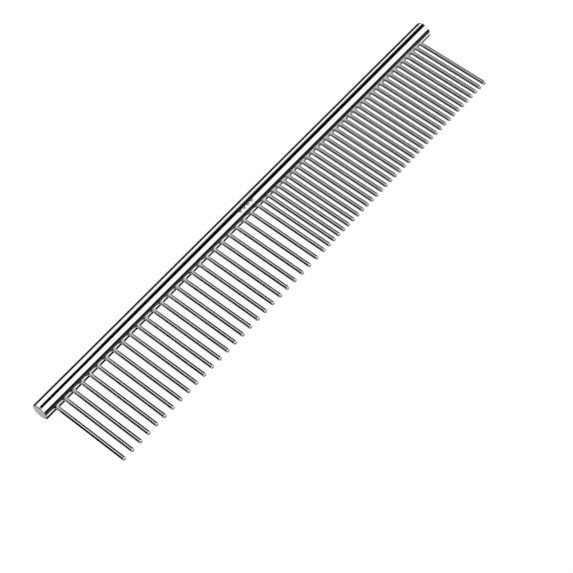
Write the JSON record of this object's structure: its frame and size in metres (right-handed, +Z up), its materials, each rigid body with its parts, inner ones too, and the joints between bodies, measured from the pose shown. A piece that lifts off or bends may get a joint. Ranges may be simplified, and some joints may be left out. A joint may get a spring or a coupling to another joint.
{
  "type": "grooming comb",
  "caption": "Round steel spine with a row of straight, ball-tipped steel tines along one side, widely spaced on one half and closely spaced on the other, for combing out a pet's coat.",
  "frame": {"origin": "below the middle of the comb's box, on the surface that the lying comb rests on", "axes": "+X along the spine from the coarse end to the fine end, -Y the way the tines point, +Z up from the surface that the comb lies on"},
  "size_m": [0.19, 0.033, 0.006],
  "materials": {
    "spine": "bright polished, with fine lengthwise polishing lines",
    "coarse_tines": "bright polished wire",
    "fine_tines": "bright polished wire"
  },
  "bodies": {
    "root": {"spine": "spine", "coarse_tine_01": "coarse_tines", "coarse_tine_02": "coarse_tines", "coarse_tine_03": "coarse_tines", "coarse_tine_04": "coarse_tines", "coarse_tine_05": "coarse_tines", "coarse_tine_06": "coarse_tines", "coarse_tine_07": "coarse_tines", "coarse_tine_08": "coarse_tines", "coarse_tine_09": "coarse_tines", "coarse_tine_10": "coarse_tines", "coarse_tine_11": "coarse_tines", "coarse_tine_12": "coarse_tines", "coarse_tine_13": "coarse_tines", "coarse_tine_14": "coarse_tines", "coarse_tine_15": "coarse_tines", "coarse_tine_16": "coarse_tines", "coarse_tine_17": "coarse_tines", "coarse_tine_18": "coarse_tines", "coarse_tine_19": "coarse_tines", "coarse_tine_20": "coarse_tines", "coarse_tine_21": "coarse_tines", "coarse_tine_22": "coarse_tines", "coarse_tine_23": "coarse_tines", "coarse_tine_24": "coarse_tines", "coarse_tine_25": "coarse_tines", "coarse_tine_26": "coarse_tines", "coarse_tine_27": "coarse_tines", "fine_tine_01": "fine_tines", "fine_tine_02": "fine_tines", "fine_tine_03": "fine_tines", "fine_tine_04": "fine_tines", "fine_tine_05": "fine_tines", "fine_tine_06": "fine_tines", "fine_tine_07": "fine_tines", "fine_tine_08": "fine_tines", "fine_tine_09": "fine_tines", "fine_tine_10": "fine_tines", "fine_tine_11": "fine_tines", "fine_tine_12": "fine_tines", "fine_tine_13": "fine_tines", "fine_tine_14": "fine_tines", "fine_tine_15": "fine_tines", "fine_tine_16": "fine_tines", "fine_tine_17": "fine_tines", "fine_tine_18": "fine_tines", "fine_tine_19": "fine_tines", "fine_tine_20": "fine_tines", "fine_tine_21": "fine_tines", "fine_tine_22": "fine_tines", "fine_tine_23": "fine_tines", "fine_tine_24": "fine_tines", "fine_tine_25": "fine_tines", "fine_tine_26": "fine_tines", "fine_tine_27": "fine_tines", "fine_tine_28": "fine_tines", "fine_tine_29": "fine_tines", "fine_tine_30": "fine_tines", "fine_tines_31_to_35": "fine_tines"}
  },
  "joints": []
}
